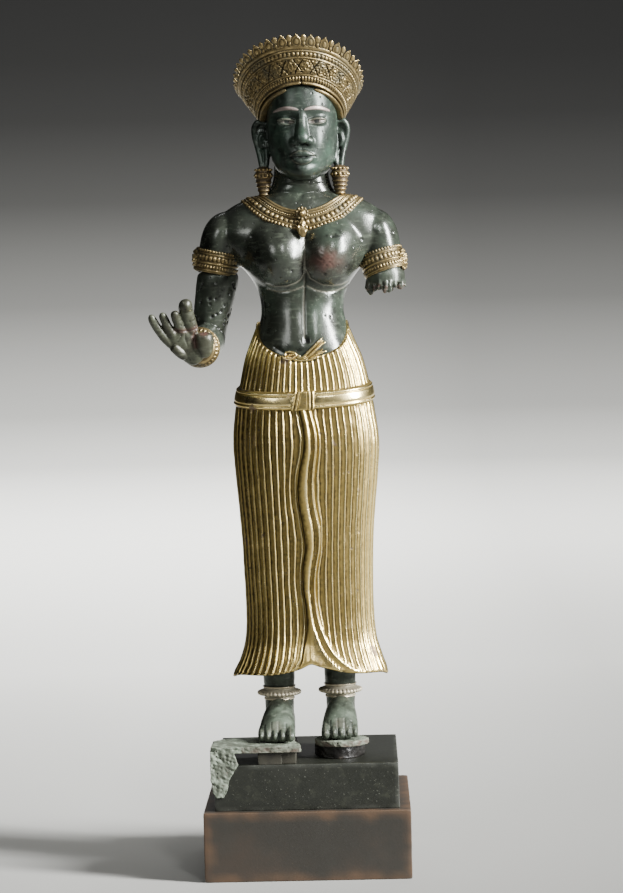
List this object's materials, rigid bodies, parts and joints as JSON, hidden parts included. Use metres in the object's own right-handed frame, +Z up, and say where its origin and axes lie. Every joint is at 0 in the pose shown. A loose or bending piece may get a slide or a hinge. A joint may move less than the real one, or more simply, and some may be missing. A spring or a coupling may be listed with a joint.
{
  "type": "female figure",
  "caption": "Standing female figure in hollow-cast gilt bronze with a flaring diadem, pleated ankle-length skirt and jewellery, one forearm broken off, on a two-part stand.",
  "frame": {"origin": "centre of the plinth's underside, on the surface it stands on", "axes": "+Z up, the figure faces -Y, +X towards the figure's left hand side"},
  "size_m": [0.1513, 0.129, 0.4955],
  "materials": {
    "gilt_bronze": "old bronze with a dark green-black patina on the skin and worn gilding on dress and jewellery",
    "packing": "dark filler, matt",
    "stand_block": "dark olive-green paint, satin, rubbed at the edges",
    "stand_plinth": "dark brown lacquer, satin, worn to orange-brown at the edges"
  },
  "bodies": {
    "root": {"figure": "gilt_bronze", "riser_right_foot": "packing", "riser_left_foot": "packing", "block": "stand_block", "plinth": "stand_plinth"}
  },
  "joints": []
}
